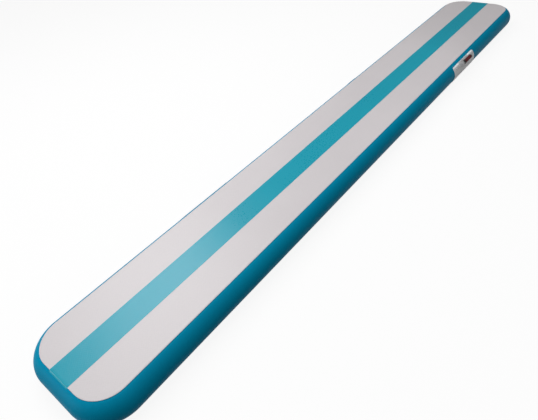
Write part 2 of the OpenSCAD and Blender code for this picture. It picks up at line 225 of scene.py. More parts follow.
# Coated cloth: a fine weave, rows of dimples where the yarns pull, with a little painted shade
# in their hollows, and broad soft waves
def coatedCloth(name, colour, shade, roughness, uv=None, gloss=0.4):
    p = clothLook

    def build(s):
        where = places(s, uv)
        x, y = axes(s, where)[:2]
        broad = noise(s, where, p["broad"])
        fine = noise(s, where, p["fine"], 3.0, 0.6)
        dimple = x.wave(p["pitch"]) * y.wave(p["pitch"])
        thread = x.wave(p["weave"]) * y.wave(p["weave"])
        # the dimple term paints the dimples' hollows slightly darker than their crests: painted
        # shade
        tone = (broad - 0.5) * 0.9 + (fine - 0.5) * 0.5 + dimple * 0.05 + 0.5
        height = dimple * 0.5 + thread * 0.2 + fine * 0.5
        return {
            "Base Color": s.mix(srgb(*shade), srgb(*colour), tone.smooth(0.0, 1.0)),
            "Roughness": (broad - 0.5) * 0.16 + (fine - 0.5) * 0.12 + roughness,
            "Normal": bump(s, height, p["relief"], p["depth"]),
            "Specular IOR Level": gloss,
        }

    return material(name, build)


topFinish = coatedCloth("lightCloth", (213, 208, 210), (203, 198, 200), 0.42, None, 0.5)
stripeFinish = coatedCloth("tealFilm", (8, 160, 181), (4, 149, 171), 0.3, None, 0.45)
wallFinish = coatedCloth("tealWallCloth", (0, 144, 180), (0, 132, 168), 0.46, "flat", 0.03)
stripFinish = coatedCloth("tealStrip", (0, 138, 173), (0, 126, 161), 0.46, "flat", 0.03)
patchFinish = coatedCloth("lightPatch", (236, 237, 238), (226, 227, 228), 0.5, "flat")
liningFinish = coatedCloth("greyLining", (196, 196, 194), (182, 182, 180), 0.55, "flat")

undersideLook = {
    "pitch": 14 * mm,
    "line": (0.72, 0.98),  # how sharply a ridge stands out
    "dust": (0.35, 0.75),
    "broad": 3.0,
    "fine": 220.0,
    "relief": 0.6,
    "depth": 0.5 * mm,
}


# Grip pattern pressed into the underside: crossed ridges in a diamond grid, painted lighter than
# the cells between them as a painted highlight
def embossedCloth(s):
    p = undersideLook
    where = places(s)
    x, y = axes(s, where)[:2]
    diamond = (x + y).wave(2 * p["pitch"]) * (x - y).wave(2 * p["pitch"])
    lines = (1 - abs(diamond)).smooth(*p["line"])
    broad = noise(s, where, p["broad"])
    fine = noise(s, where, p["fine"], 3.0, 0.6)
    dust = (broad * 0.6 + fine * 0.4).smooth(*p["dust"])
    body = s.mix(srgb(120, 126, 131), srgb(104, 110, 116), dust)
    return {
        # the ridges are mixed towards a lighter grey: painted highlight on the raised lines
        "Base Color": s.mix(body, srgb(136, 142, 147), lines * 0.6),
        "Roughness": 0.56 - lines * 0.08 + (fine - 0.5) * 0.15,
        "Normal": bump(s, lines + fine * 0.15, p["relief"], p["depth"]),
    }


bottomFinish = material("embossedUnderside", embossedCloth)

webbingLook = {
    "rib": 1.6 * mm,  # rib to rib along the strap
    "thread": 2.3 * mm,  # thread to thread across it
    "sway": 3.2 * mm,
    "fine": 900.0,
    "relief": 0.8,
    "depth": 0.4 * mm,
}


# Woven webbing: ribs across, rows of thread along, with painted shade in the grooves between
# them
def webbingCloth(s):
    p = webbingLook
    u, v = axes(s, places(s, "flat"))[:2]
    rib = abs(u.wave(2 * p["rib"]))
    sway = u.wave(2 * p["sway"]) * 0.6
    cross = abs((v * (pi / p["thread"]) + sway).sine())
    fine = noise(s, places(s), p["fine"])
    weave = rib * 0.6 + cross * 0.4
    # tone follows the weave's relief: crests lighter, grooves darker, as painted shade
    tone = weave * 0.7 + fine * 0.3
    return {
        "Base Color": s.mix(srgb(168, 170, 173), srgb(214, 215, 217), tone),
        "Roughness": 0.78 - weave * 0.12,
        "Normal": bump(s, weave, p["relief"], p["depth"]),
    }


webbingFinish = material("greyWebbing", webbingCloth)

mouldedLook = {"broad": 38.0, "depth": 0.1 * mm}


# Moulded plastic or rubber: a faint orange-peel skin and handled, slightly polished spots
def moulded(name, colour, shade, roughness, grain=420.0, relief=0.2, metallic=0.0):
    def build(s):
        where = places(s)
        broad = noise(s, where, mouldedLook["broad"])
        fine = noise(s, where, grain)
        tone = (broad * 0.7 + fine * 0.3).smooth(0.25, 0.75)
        return {
            "Base Color": s.mix(srgb(*shade), srgb(*colour), tone),
            "Roughness": (broad - 0.5) * 0.2 + (fine - 0.5) * 0.1 + roughness,
            "Normal": bump(s, fine, relief, mouldedLook["depth"]),
            "Metallic": metallic,
        }

    return material(name, build)


gripFinish = moulded("redGripRubber", (98, 11, 23), (74, 6, 15), 0.55, 900.0, 0.35)
collarFinish = moulded("blackGripCollar", (30, 30, 31), (18, 18, 19), 0.5)
bootFinish = moulded("tealBoot", (0, 126, 160), (0, 110, 143), 0.42)
sealFinish = moulded("blackSealRubber", (34, 34, 35), (22, 22, 23), 0.68)
valveFinish = moulded("greyValvePlastic", (184, 188, 192), (168, 172, 176), 0.36)
plungerFinish = moulded("whitePlungerPlastic", (228, 228, 226), (212, 212, 210), 0.34)
washerFinish = moulded("amberWasher", (196, 184, 150), (178, 166, 134), 0.4)
capFinish = moulded("darkCapPlastic", (54, 57, 60), (40, 43, 46), 0.42)
steelFinish = moulded("springSteel", (196, 198, 202), (176, 178, 182), 0.3, 900.0, 0.1, 1.0)
yarnFinish = moulded("paleYarn", (238, 237, 230), (222, 221, 214), 0.8, 1500.0, 0.5)
threadFinish = moulded("greyThread", (150, 152, 155), (126, 128, 131), 0.7, 1500.0, 0.5)
print("finishes made")

# Mesh helpers


def meshObject(name, verts, faces, finish, uvs=None):
    mesh = bpy.data.meshes.new(name)
    mesh.from_pydata([tuple(v) for v in verts], [], [tuple(f) for f in faces])
    if uvs is not None:
        layer = mesh.uv_layers.new(name="flat")
        index = np.zeros(len(mesh.loops), np.int32)
        mesh.loops.foreach_get("vertex_index", index)
        layer.data.foreach_set("uv", np.asarray(uvs, np.float32)[index].ravel())
    work = bmesh.new()
    work.from_mesh(mesh)
    bmesh.ops.recalc_face_normals(work, faces=work.faces)
    work.to_mesh(mesh)
    work.free()
    mesh.materials.append(finish)
    piece = newObject(name, mesh)
    roundShading(piece)
    return piece


def roundShading(piece):
    polygons = piece.data.polygons
    polygons.foreach_set("use_smooth", [True] * len(polygons))


def softEdges(piece, angle=40):
    piece.data.set_sharp_from_angle(angle=radians(angle))


def bandFaces(a, b, count, closed=True):
    last = count if closed else count - 1
    return [(a + i, b + i, b + (i + 1) % count, a + (i + 1) % count) for i in range(last)]


# Bands between rings that follow each other, and the end faces
def tubeFaces(rings, count, ends=True):
    faces = []
    for k in range(rings - 1):
        faces += bandFaces(k * count, (k + 1) * count, count)
    if ends:
        last = tuple(range((rings - 1) * count, rings * count))
        faces += [tuple(range(count)), last[::-1]]
    return faces


# A closed shell: its outer rings come first, then as many inner ones
def shellFaces(rings, count):
    faces = []
    for k in range(rings - 1):
        faces += bandFaces(k * count, (k + 1) * count, count)
        faces += bandFaces((rings + k + 1) * count, (rings + k) * count, count)
    faces += bandFaces(rings * count, 0, count)
    return faces + bandFaces((rings - 1) * count, (2 * rings - 1) * count, count)


# Running total, from 0
def summed(steps):
    return np.concatenate([[0], np.cumsum(steps)])


# Smooth step from 0 to 1
def eased(t):
    t = np.clip(t, 0, 1)
    return t * t * (3 - 2 * t)


def rideOn(piece, body, slotName, *nodes):
    if nodes:
        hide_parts(*nodes)
    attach(piece, body)


# Rounded rectangle: rows run along x, columns across, and one lap goes round the edge
class RoundPlate:
    def __init__(self, halfL, halfW, radius, cornerSteps, sideSteps, endSteps):
        coreX, coreY = halfL - radius, halfW - radius
        turn = np.linspace(0, pi / 2, cornerSteps + 1)
        between = np.linspace(-coreX, coreX, sideSteps + 1)[1:-1]
        ends = np.full(len(turn), coreX)
        rowCore = np.concatenate([-ends, between, ends])
        rowNx = np.concatenate([-np.cos(turn), np.zeros(len(between)), np.sin(turn)])
        rowNy = np.concatenate([np.sin(turn), np.ones(len(between)), np.cos(turn)])
        across = np.linspace(-1, 1, endSteps + 1)
        rows, cols = len(rowCore), len(across)
        lap = [(i, 0) for i in range(rows)]
        lap += [(rows - 1, j) for j in range(1, cols)]
        lap += [(i, cols - 1) for i in range(rows - 2, -1, -1)]
        lap += [(0, j) for j in range(cols - 2, 0, -1)]
        i, j = np.array(lap).T
        side = (j == cols - 1) * 1 - (j == 0) * 1
        self.core = np.stack([rowCore[i], across[j] * coreY], 1)
        self.out = np.stack([rowNx[i], side * rowNy[i]], 1)
        self.lap, self.rows, self.cols = lap, rows, cols
        self.radius, self.across = radius, across

    def ring(self, past):
        return self.core + self.out * (self.radius + past)

    def length(self, past):
        edge = self.ring(past)
        return np.linalg.norm(np.roll(edge, -1, 0) - edge, axis=1)

    def grid(self, first, ring, height, inner):
        index = -np.ones((self.rows, self.cols), int)
        for k, (i, j) in enumerate(self.lap):
            index[i, j] = first + k
        spots = []
        for i in range(1, self.rows - 1):
            a, b = ring[index[i, 0] - first], ring[index[i, self.cols - 1] - first]
            for j in range(1, self.cols - 1):
                index[i, j] = inner + len(spots)
                spots.append((*(a + (b - a) * (self.across[j] + 1) / 2), height))
        near, far = index[:-1], index[1:]
        quads = np.stack([near[:, :-1], far[:, :-1], far[:, 1:], near[:, 1:]], 2)
        return spots, quads.reshape(-1, 4).tolist()


# A closed plate: profile holds (distance past the outline, height), from the top's middle
# round to the underside
def plate(name, shape, profile, finish, place=None, lift=None):
    count = len(shape.lap)
    flat, faces = [], tubeFaces(len(profile), count, False)
    for past, height in profile:
        flat += [(x, y, height) for x, y in shape.ring(past)]
    for k in (0, len(profile) - 1):
        past, height = profile[k]
        spots, quads = shape.grid(k * count, shape.ring(past), height, len(flat))
        flat += spots
        faces += quads if k == 0 else [q[::-1] for q in quads]
    flat = np.array(flat)
    uvs = flat[:, :2].copy()
    if lift is not None:
        flat[:, 2] += lift(flat[:, 1], flat[:, 2])
    verts = flat if place is None else place(flat)
    return meshObject(name, verts, faces, finish, uvs)


# Mat: the skin's section and the sheets that follow it

topLow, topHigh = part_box("top_face")
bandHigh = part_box("outer_wall_band")[1]
matSizes = {
    "faceHalfL": topHigh.x,
    "faceHalfW": topHigh.y,
    "cornerRadius": 95 * mm,
    "steps": (44, 200, 24),  # round a corner, along a side and across an end
    "bulge": bandHigh.y - topHigh.y,
    "skinHigh": topLow.z,  # the wall's outer skin, under the top cloth
    "skinLow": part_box("bottom_face")[1].z,
    "skinSteps": (5, 9, 22),  # on the flat, over the shoulder and down the arc
    "shoulder": 20 * mm,  # radius that eases the wall into the faces
    "clothEdge": -0.5 * mm,  # where each cloth ends, past the crease
    "clothThick": topHigh.z - topLow.z,
    "clothInset": 22 * mm,  # the strip along the rim that has rows of its own
    "clothSteps": 8,
    "rimRound": 0.4 * mm,
    "rimCut": (0.1 * mm, 0.15 * mm),  # back and down, off the rim's upper edge
    "hair": 0.03 * mm,  # air between layers that lie on each other
    "weld": 24 * mm,
    "pucker": 0.45 * mm,
    "puckerCount": 11,
    "puckerTop": 5 * mm,  # deepest at this distance from the crease
    "puckerReach": 26 * mm,
    "valveHoleR": 15.4 * mm,
    "valveHoleDepth": 20 * mm,
    "valveHoleSides": 96,
}
ms = matSizes
wallMid = (ms["skinHigh"] + ms["skinLow"]) / 2
wallHalf = (ms["skinHigh"] - ms["skinLow"]) / 2
wallR = (wallHalf**2 + ms["bulge"] ** 2) / (2 * ms["bulge"])
wallC = ms["bulge"] - wallR  # centre of the wall's arc, outwards from the crease
matOutline = (ms["faceHalfL"], ms["faceHalfW"], ms["cornerRadius"])
matShape = RoundPlate(*matOutline, *ms["steps"])


# Skin from the flat under the top cloth, over the shoulder and down the wall's arc to its
# middle: (outwards from the crease, up from the wall's middle, lean)
def upperSkin(weld):
    r = ms["shoulder"]
    flatSteps, shoulderSteps, arcSteps = ms["skinSteps"]
    centreUp = wallHalf - r
    centreOut = wallC + sqrt((wallR - r) ** 2 - centreUp**2)
    lean = asin((centreOut - wallC) / (wallR - r))
    rows = [(d, wallHalf, 0.0) for d in np.linspace(-weld, centreOut, flatSteps)[:-1]]
    for a in np.linspace(0, lean, shoulderSteps)[:-1]:
        rows.append((centreOut + r * sin(a), centreUp + r * cos(a), a))
    for a in np.linspace(lean, pi / 2, arcSteps):
        rows.append((wallC + wallR * sin(a), wallR * cos(a), a))
    return np.array(rows)


# Length along the skin from the crease
def pastCrease(rows):
    run = summed(np.hypot(np.diff(rows[:, 0]), np.diff(rows[:, 1])))
    return run - np.interp(0.0, rows[:, 0], run)


upper = upperSkin(ms["weld"])
skinRun = pastCrease(upper)


# Places on the skin at a length past the crease and a height off it
def onSkin(run, off):
    d, z, a = (np.interp(run, skinRun, upper[:, k]) for k in range(3))
    return d + off * np.sin(a), z + off * np.cos(a)


def clothProfile(sign):
    outer, inner, edge = ms["clothThick"], ms["hair"], ms["clothEdge"]
    start = -ms["clothInset"]
    runs = np.linspace(start / 2, edge - ms["rimRound"], ms["clothSteps"])
    runs = np.concatenate([[start], runs])
    back, down = ms["rimCut"]
    line = [onSkin(t, outer) for t in runs]
    line += [onSkin(edge - back, outer - down), onSkin(edge, (outer + inner) / 2)]
    line += [onSkin(t, inner) for t in runs[::-1]]
    return [(float(d), float(wallMid + sign * z)) for d, z in line]


def faceCloth(name, finish, sign, slotName, node):
    piece = plate(name, matShape, clothProfile(sign), finish)
    rideOn(piece, "mat", slotName, node)
    width = 2 * (ms["faceHalfW"] + ms["clothEdge"])
    long = 2 * (ms["faceHalfL"] + ms["clothEdge"])
    cut = width * long - (4 - pi) * (ms["cornerRadius"] + ms["clothEdge"]) ** 2


faceCloth("topCloth", topFinish, 1, "top_cloth", "top_face")
faceCloth("bottomCloth", bottomFinish, -1, "bottom_cloth", "bottom_face")
print("face cloths made")


# A wall layer: the skin carried round the mat, with small puckers by the seams at the corners
def wallLayer(name, shape, p, finish, slotName, node):
    rows = upperSkin(p["weld"])
    halfRun = pastCrease(rows)
    flips = [(row, 1) for row in rows] + [(row, -1) for row in rows[-2::-1]]
    runs = np.concatenate([halfRun, 2 * halfRun[-1] - halfRun[-2::-1]])
    total = 2 * halfRun[-1]
    out = shape.out
    lean = np.arctan2(np.abs(out[:, 1]), np.abs(out[:, 0]))
    inCorner = np.sin(2 * lean) ** 2
    inCorner[np.abs(np.sin(2 * lean)) < 1e-6] = 0
    wave = np.cos(2 * lean * ms["puckerCount"]) * inCorner
    along = summed(shape.length(ms["bulge"] / 2))[:-1]
    verts, uvs = [], []
    for level in (-p["depth"], -p["depth"] - p["thick"]):
        for ((d, z, a), flip), run in zip(flips, runs):
            seam = min(run, total - run)
            near = np.interp(seam, [0, ms["puckerTop"], ms["puckerReach"]], [0, 1, 0])
            off = level - ms["pucker"] * near * (1 - wave) / 2 * inCorner
            ring = shape.core + out * (ms["cornerRadius"] + d + off * sin(a))[:, None]
            high = wallMid + flip * (z + off * cos(a))
            verts += [(x, y, h) for (x, y), h in zip(ring, high)]
            uvs += [(t, run) for t in along]
    piece = meshObject(name, verts, shellFaces(len(flips), len(along)), finish, uvs)
    cutValveHole(piece)
    rideOn(piece, "mat", slotName, node)
    width = total + 2 * p["weld"] - pi * p["flatDepth"]
    long = float(shape.length(ms["bulge"] / 2 - p["flatDepth"]).sum())


# What a modifier makes of a piece, as a plain mesh
def bakeModifier(piece, modifier):
    graph = bpy.context.evaluated_depsgraph_get()
    mesh = bpy.data.meshes.new_from_object(piece.evaluated_get(graph))
    piece.modifiers.remove(modifier)
    old = piece.data
    piece.data = mesh
    bpy.data.meshes.remove(old)
    mesh.name = piece.name


def cutValveHole(piece):
    work = bmesh.new()
    centre = Matrix.Translation((bandHigh.x, 0, wallMid))
    bmesh.ops.create_cone(
        work, cap_ends=True, segments=ms["valveHoleSides"], radius1=ms["valveHoleR"],
        radius2=ms["valveHoleR"], depth=ms["valveHoleDepth"],
        matrix=centre @ Matrix.Rotation(pi / 2, 4, "Y"),
    )
    mesh = bpy.data.meshes.new("cutter")
    work.to_mesh(mesh)
    work.free()
    cutter = newObject("cutter", mesh)
    modifier = piece.modifiers.new("hole", "BOOLEAN")
    modifier.object = cutter
    bakeModifier(piece, modifier)
    bpy.data.objects.remove(cutter)
    bpy.data.meshes.remove(mesh)


bandSizes = {"weld": ms["weld"], "depth": 0.0, "thick": 0.9 * mm, "flatDepth": 0.0}
wallLayer(
    "wallBand", matShape, bandSizes, wallFinish, "wall_cloth", "outer_wall_band",
)
print("wall band made")

# The second wall layer, glued inside the first

liningSizes = {
    "weld": 16 * mm,
    "depth": 1.2 * mm,  # under the wall's outer skin
    "thick": 0.67 * mm,
    "flatDepth": 1.535 * mm,  # half way through it, where its flat size is taken
    "steps": (44, 12, 6),
}
liningShape = RoundPlate(*matOutline, *liningSizes["steps"])
wallLayer(
    "innerLining", liningShape, liningSizes, liningFinish, "lining_cloth", "inner_wall_band",
)
print("lining made")

# Centre stripe: a film on the top cloth that runs over both end shoulders

stripeLow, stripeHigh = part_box("centre_stripe")
stripeSizes = {
    "halfW": stripeHigh.y,
    "thick": stripeHigh.z - stripeLow.z,
    "past": 4 * mm,  # how far its ends lap onto the wall
    "lead": 1 * mm,  # rows come closer together from here on, before the crease
    "fallStart": 0.2 * mm,
    "fall": 2 * mm,  # run in which it comes down off the cloth's edge
    "endRows": (6, 12),
    "middleRows": 140,
    "columns": 12,
}


def centreStripe(p):
    edge, (farRows, nearRows) = ms["clothEdge"], p["endRows"]
    endRuns = np.concatenate([
        np.linspace(-ms["clothInset"], edge - p["lead"], farRows),
        np.linspace(-p["lead"], p["past"], nearRows),
    ])
    ends = []
    for sign in (-1, 1):
        part = []
        for run in endRuns:
            fall = eased((run - edge + p["fallStart"]) / p["fall"])
            under = ms["clothThick"] * (1 - fall)
            pair = (onSkin(run, under + ms["hair"]), onSkin(run, under + p["thick"]))
            part.append([(sign * (ms["faceHalfL"] + d), wallMid + z) for d, z in pair])
        ends.append(part)
    middle = np.linspace(ends[0][0][0][0], ends[1][0][0][0], p["middleRows"])[1:-1]
    lowZ, highZ = (z for _, z in ends[0][0])
    line = ends[0][::-1] + [[(x, lowZ), (x, highZ)] for x in middle] + ends[1]
    across = np.linspace(-p["halfW"], p["halfW"], p["columns"] + 1)
    count, rings = len(across), len(line)
    verts, faces = [], []
    for side in (0, 1):
        for pair in line:
            x, z = pair[side]
            verts += [(x, y, z) for y in across]
    for k in range(rings - 1):
        faces += bandFaces((rings + k) * count, (rings + k + 1) * count, count, False)
        faces += bandFaces((k + 1) * count, k * count, count, False)
    for k in (0, rings - 1):
        faces += bandFaces(k * count, (rings + k) * count, count, False)
    for j in (0, count - 1):
        for k in range(rings - 1):
            a, b = k * count + j, (k + 1) * count + j
            faces.append((a, b, b + rings * count, a + rings * count))
    piece = meshObject("centreStripe", verts, faces, stripeFinish)
    softEdges(piece)
    rideOn(piece, "mat", "stripe_film", "centre_stripe")
    long = 2 * (ms["faceHalfL"] + p["past"])


centreStripe(stripeSizes)
print("stripe made")

# Geometry node trees

treeSizes = {"wireSides": 8, "ribSides": 40, "stitchSides": (6, 5)}


def geometryTree(name, build, sizes, counts=()):
    tree = bpy.data.node_groups.new(name, "GeometryNodeTree")
    sockets = [("Geometry", "NodeSocketGeometry")]
    sockets += [(key, "NodeSocketInt") for key in counts]
    sockets += [(key, "NodeSocketFloat") for key in sizes]
    sockets += [("Finish", "NodeSocketMaterial")]
    for key, kind in sockets:
        tree.interface.new_socket(key, in_out="INPUT", socket_type=kind)
    tree.interface.new_socket("Geometry", in_out="OUTPUT", socket_type="NodeSocketGeometry")
    s = Sock(tree)
    given = s.node("NodeGroupInput").outs()
    shape = s.geo("RealizeInstances", {0: build(s, given)})
    shape = s.geo("SetMaterial", {"Geometry": shape, "Material": given["Finish"]})
    s.node("NodeGroupOutput", None, {0: shape})
    return tree


def grow(name, base, tree, values):
    piece = newObject(name, base)
    modifier = piece.modifiers.new("grow", "NODES")
    modifier.node_group = tree
    items = tree.interface.items_tree
    names = {item.name: item.identifier for item in items if item.in_out == "INPUT"}
    for key, value in values.items():
        modifier[names[key]] = value
    bakeModifier(piece, modifier)
    if not piece.data.materials:
        piece.data.materials.append(values["Finish"])
    roundShading(piece)
    return piece


def pathMesh(name, paths, closed=False):
    verts, edges = [], []
    for path in paths:
        first = len(verts)
        verts += [tuple(p) for p in path]
        edges += [(first + k, first + k + 1) for k in range(len(path) - 1)]
        if closed:
            edges.append((len(verts) - 1, first))
    mesh = bpy.data.meshes.new(name)
    mesh.from_pydata(verts, edges, [])
    return mesh


def circle(s, sides, radius):
    return s.geo("CurvePrimitiveCircle", {"Resolution": sides, "Radius": radius})


def beadNodes(s, given):
    line = s.geo("MeshToCurve", {"Mesh": given["Geometry"]})
    ring = circle(s, treeSizes["wireSides"], given["Radius"])
    return s.geo("CurveToMesh", {"Curve": line, "Profile Curve": ring, "Fill Caps": True})


def stitchNodes(s, given):
    line = s.geo("MeshToCurve", {"Mesh": given["Geometry"]})
    spaced = s.geo("CurveToPoints", {"Curve": line, "Length": given["Pitch"]}, mode="LENGTH")
    turn = spaced.outs()["Rotation"]
    segments, rings = treeSizes["stitchSides"]
    inputs = {"Segments": segments, "Rings": rings, "Radius": given["Radius"]}
    drop = s.geo("MeshUVSphere", inputs)
    slim = s.node("ShaderNodeCombineXYZ", None, {0: 1.0, 1: 1.0, 2: given["Stretch"]})
    drop = s.geo("Transform", {"Geometry": drop, "Scale": slim})
    return s.geo("InstanceOnPoints", {"Points": spaced, "Instance": drop, "Rotation": turn})


def ribNodes(s, given):
    step = s.node("ShaderNodeCombineXYZ", None, {0: given["Pitch"]})
    first = s.node("ShaderNodeCombineXYZ", None, {0: given["Start"]})
    inputs = {"Count": given["Count"], "Start Location": first, "Offset": step}
    line = s.geo("MeshLine", inputs)
    ring = circle(s, treeSizes["ribSides"], given["Ring"])
    wire = circle(s, treeSizes["wireSides"], given["Radius"])
    bead = s.geo("CurveToMesh", {"Curve": ring, "Profile Curve": wire})
    bead = s.geo("Transform", {"Geometry": bead, "Rotation": (0.0, pi / 2, 0.0)})
    return s.geo("InstanceOnPoints", {"Points": line, "Instance": bead})


beadTree = geometryTree("weldBead", beadNodes, ["Radius"])
stitchTree = geometryTree("stitches", stitchNodes, ["Pitch", "Radius", "Stretch"])
ribTree = geometryTree("gripRibs", ribNodes, ["Pitch", "Start", "Ring", "Radius"], ["Count"])
print("geometry trees made")

# Weld beads where the cloth edges meet the wall

beadSizes = {"radius": 0.5 * mm, "past": 0.35 * mm, "off": 0.1 * mm}


def weldBead(name, sign, p):
    d, z = onSkin(ms["clothEdge"] + p["past"], p["off"])
    ring = [(x, y, wallMid + sign * z) for x, y in matShape.ring(d)]
    values = {"Radius": p["radius"], "Finish": stripFinish}
    piece = grow(name, pathMesh(name, [ring], True), beadTree, values)
    rideOn(piece, "mat", "wall_cloth")


weldBead("upperWeldBead", 1, beadSizes)
weldBead("lowerWeldBead", -1, beadSizes)
print("weld beads made")


# What lies on a long wall: (along the mat, round the wall from its middle, height off it)
# to the frame
def onWall(side, x0):
    def place(flat):
        r = wallR + flat[:, 2]
        turn = flat[:, 1] / wallR
        out = ms["faceHalfW"] + wallC + r * np.cos(turn)
        up = wallMid + r * np.sin(turn)
        return np.stack([side * (x0 + flat[:, 0]), -side * out, up], 1)

    return place


# A thin sheet's section, with a soft rim
def sheetProfile(low, high, soft):
    return [
        (-3 * soft, high), (-soft, high), (-soft / 3, high - soft / 4),
        (0.0, (low + high) / 2), (-soft / 3, low), (-3 * soft, low),
    ]


def wallSheet(name, p, side, x0, finish, slotName, node):
    shape = RoundPlate(p["halfL"], p["halfH"], p["corner"], *p["steps"])
    profile = sheetProfile(p["low"], p["high"], p["soft"])
    piece = plate(name, shape, profile, finish, onWall(side, x0))
    rideOn(piece, "mat", slotName, node)
    flat = tuple(sorted((2 * p["halfL"], 2 * p["halfH"])))


stripLow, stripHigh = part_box("wall_joint_strip")
stripX = (stripHigh.x + stripLow.x) / 2
stripSizes = {
    "halfL": (stripHigh.x - stripLow.x) / 2,
    "halfH": wallR * asin(wallHalf / wallR) - 7 * mm,  # that far from the creases
    "low": 0.07 * mm,  # heights over the wall
    "high": 1.1 * mm,
    "soft": 0.8 * mm,
    "corner": 6 * mm,
    "steps": (6, 12, 36),
}
wallSheet("jointStrip", stripSizes, -1, -stripX, stripFinish, "wall_cloth", "wall_joint_strip")
print("joint strip made")

# Carry handles

patchLow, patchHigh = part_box("front_handle_patch")
patchSizes = {
    "halfL": (patchHigh.x - patchLow.x) / 2,
    "halfH": 44 * mm,
    "low": 0.07 * mm,
    "high": 1.3 * mm,
    "soft": 0.9 * mm,
    "corner": 12 * mm,
    "steps": (8, 48, 28),
}
handleSizes = {
    "x": (patchLow.x + patchHigh.x) / 2,
    "strapLow": 2.8 * mm,  # heights over the wall
    "strapHigh": 20 * mm,
    "hinge": 8 * mm,
    "hingeReach": 4 * mm,  # height each way from the hinge
    "strapW": 14 * mm,
    "strapT": 2.4 * mm,
    "strapTuck": 10 * mm,  # from the strap's end to the pad's
    "legIn": 40 * mm,
    "legOut": 58 * mm,
    "bend": 7 * mm,
    "bendSteps": 8,
    "padOut": patchSizes["halfL"] - 10 * mm,  # where the pads end, from the middle
    "padLow": patchSizes["high"],
    "padHalfW": 11 * mm,
    "padTop": 5.9 * mm,
    "padRim": 1.2 * mm,  # how thick a pad is along its two long rims
    "padCorner": 5 * mm,
    "padSteps": (6, 18, 20),
    "padRound": [(-2.4, 0), (-1.2, 0), (-0.5, -0.25), (-0.1, -0.9)],  # past and up, in mm
    "padFoot": 0.7 * mm,
    "padFlat": 2.4 * mm,
    "seamEnd": 6 * mm,  # the sewn box, in from the pad's ends and the strap's edges
    "seamSide": 1.6 * mm,
    "stitchPitch": 3 * mm,
    "stitchR": 0.42 * mm,
    "stitchStretch": 2.6,
    "stitchOff": 0.1 * mm,
    "seamStep": 1 * mm,
}
hs = handleSizes


# How far a handle leans from straight up, from where its hinge is
def handleLean(word):
    joint = next(j for j in frame["joints"] if j["name"] == f"{word}_handle_swing")
    _, y, z = joint["pos_m"]
    return atan2(abs(y) - ms["faceHalfW"] - wallC, z - wallMid)


leans = {1: handleLean("front"), -1: handleLean("rear")}


# Handle frame: x along the mat, y up round the wall, z out of the wall from the arc's centre
def handlePlace(side):
    lean = leans[side]

    def place(spots):
        x, y, z = np.asarray(spots, float).T
        out = -(ms["faceHalfW"] + wallC) + y * cos(lean) - z * sin(lean)
        up = wallMid + y * sin(lean) + z * cos(lean)
        return np.stack([side * (hs["x"] + x), side * out, up], 1)

    return place


# How far the wall's curve drops away at y
def wallDrop(y):
    return np.sqrt(wallR**2 - y**2) - wallR


def unit(v):
    return v / np.linalg.norm(v)


def filletPath(points, radius, steps):
    points = [np.array(p, float) for p in points]
    made = [points[0]]
    for before, here, after in zip(points, points[1:], points[2:]):
        a, b = unit(before - here), unit(after - here)
        half = np.arccos(np.clip(a @ b, -1, 1)) / 2
        back = radius / np.tan(half)
        middle = here + unit(a + b) * radius / sin(half)
        first = here + a * back - middle
        last = here + b * back - middle
        for t in np.linspace(0, 1, steps):
            made.append(middle + unit(first * (1 - t) + last * t) * radius)
    return np.array(made + [points[-1]])


def finePath(path, step):
    run = summed(np.linalg.norm(np.diff(path, axis=0), axis=1))
    even = np.linspace(0, run[-1], max(2, int(run[-1] / step)))
    return np.stack([np.interp(even, run, path[:, k]) for k in range(path.shape[1])], 1), even


strapSizes = {"step": 1.6 * mm, "edgeSteps": 7, "flatSteps": 9}


# A flat strap with round edges along a path in the x-z plane
def strapMesh(name, path, width, thick, place, finish):
    p = strapSizes
    line, run = finePath(path, p["step"])
    way = np.gradient(line, axis=0)
    way /= np.linalg.norm(way, axis=1)[:, None]
    up = np.stack([-way[:, 1], way[:, 0]], 1)
    turn = np.linspace(-pi / 2, pi / 2, p["edgeSteps"])
    r = thick / 2
    half = width / 2 - r
    flats = np.linspace(-half, half, p["flatSteps"])[1:-1]
    section = [(half + r * cos(t), r * sin(t)) for t in turn]
    section += [(y, r) for y in flats[::-1]]
    section += [(-half - r * cos(t), r * sin(t)) for t in turn[::-1]]
    section += [(y, -r) for y in flats]
    spots, uvs = [], []
    for (x, z), (nx, nz), t in zip(line, up, run):
        spots += [(x + nx * h, y, z + nz * h) for y, h in section]
        uvs += [(t, y) for y, _ in section]
    faces = tubeFaces(len(line), len(section))
    return meshObject(name, place(spots), faces, finish, uvs)


# A pad drawn over the strap's end: highest over the strap, thin at its rim
def padLift(y, z):
    low = hs["padLow"] + wallR
    rise = eased((hs["padHalfW"] - np.abs(y)) / (hs["padHalfW"] - hs["strapW"] / 2))
    return (rise - 1) * (z - low) * (1 - hs["padRim"] / (hs["padTop"] - hs["padLow"]))


def padMesh(name, side, finish):
    halfL = (hs["padOut"] - hs["legOut"]) / 2
    shape = RoundPlate(halfL, hs["padHalfW"], hs["padCorner"], *hs["padSteps"])
    low, high = hs["padLow"] + wallR, hs["padTop"] + wallR
    profile = [(past * mm, high + up * mm) for past, up in hs["padRound"]]
    profile += [(0.0, low + hs["padFoot"]), (0.0, low), (-hs["padFlat"], low)]
    place = handlePlace(side)
    both = []
    for end in (-1, 1):
        shift = end * (hs["legOut"] + halfL)

        def onto(flat):
            x, y, z = flat.T
            return place(np.stack([x + shift, y, z + wallDrop(y)], 1))

        both.append(plate(f"{name}{len(both)}", shape, profile, finish, onto, padLift))
    return joined(name, both)


def joined(name, pieces):
    work = bmesh.new()
    for piece in pieces:
        work.from_mesh(piece.data)
    mesh = bpy.data.meshes.new(name)
    work.to_mesh(mesh)
    work.free()
    mesh.materials.append(pieces[0].data.materials[0])
    for piece in pieces:
        old = piece.data
        bpy.data.objects.remove(piece)
        bpy.data.meshes.remove(old)
    return newObject(name, mesh)


